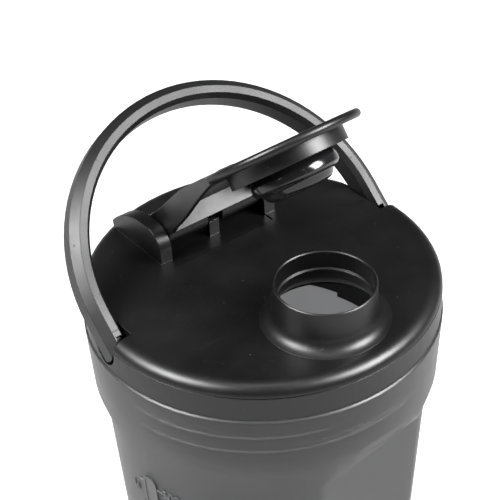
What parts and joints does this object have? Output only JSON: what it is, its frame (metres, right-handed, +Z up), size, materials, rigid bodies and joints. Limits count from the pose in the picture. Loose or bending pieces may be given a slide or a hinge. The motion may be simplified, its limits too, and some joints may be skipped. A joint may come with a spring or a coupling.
{
  "type": "protein shaker bottle",
  "caption": "Tapered drinks shaker with grip panels, a screw lid with an open spout, a hinged flip cap with a stopper, a swinging carry handle and a loose wire whisk ball.",
  "frame": {"origin": "middle of the flat base, on the bottle's axis", "axes": "+Z up along the axis; the spout is towards -Y, the cap's hinge towards +Y, and the hinge and the handle's pivots run along X"},
  "size_m": [0.1008, 0.1008, 0.2122],
  "materials": {
    "smoke_plastic": "translucent smoke-grey moulded plastic, satin",
    "black_satin": "black moulded plastic, satin",
    "handle_satin": "black moulded plastic, fine spark-eroded grain",
    "stopper_elastomer": "glossy black thermoplastic elastomer",
    "seal_silicone": "black silicone",
    "pin_steel": "drawn stainless steel",
    "whisk_steel": "polished stainless wire"
  },
  "bodies": {
    "cup": {"cup": "smoke_plastic"},
    "seal": {"lid_seal": "seal_silicone"},
    "lid": {"lid": "black_satin", "hinge_pin": "pin_steel"},
    "flip_cap": {"flip_cap": "black_satin", "stopper": "stopper_elastomer"},
    "handle": {"handle": "handle_satin"},
    "whisk": {"whisk_ball": "whisk_steel"}
  },
  "joints": [
    {"name": "lid_lift", "type": "slide", "parent": "cup", "child": "seal", "axis": [0, 0, 1], "range_m": [0, 0.0076]},
    {"name": "lid_turn", "type": "hinge", "parent": "seal", "child": "lid", "pos_m": [0, 0, 0.141], "axis": [0, 0, 1], "range_deg": [0, 540]},
    {"name": "cap_hinge", "type": "hinge", "parent": "lid", "child": "flip_cap", "pos_m": [0, 0.0252, 0.1585], "axis": [1, 0, 0], "range_deg": [-50, 40]},
    {"name": "handle_hinge", "type": "hinge", "parent": "lid", "child": "handle", "pos_m": [0, 0.00546, 0.14775], "axis": [1, 0, 0], "range_deg": [-4.3, 47.7]},
    {"name": "whisk_slide", "type": "slide", "parent": "cup", "child": "whisk", "axis": [0, 0, 1], "range_m": [0, 0.06]}
  ],
  "couplings": [
    {"joint": "lid_lift", "follows": "lid_turn", "m_per_rad": 0.00079577}
  ]
}
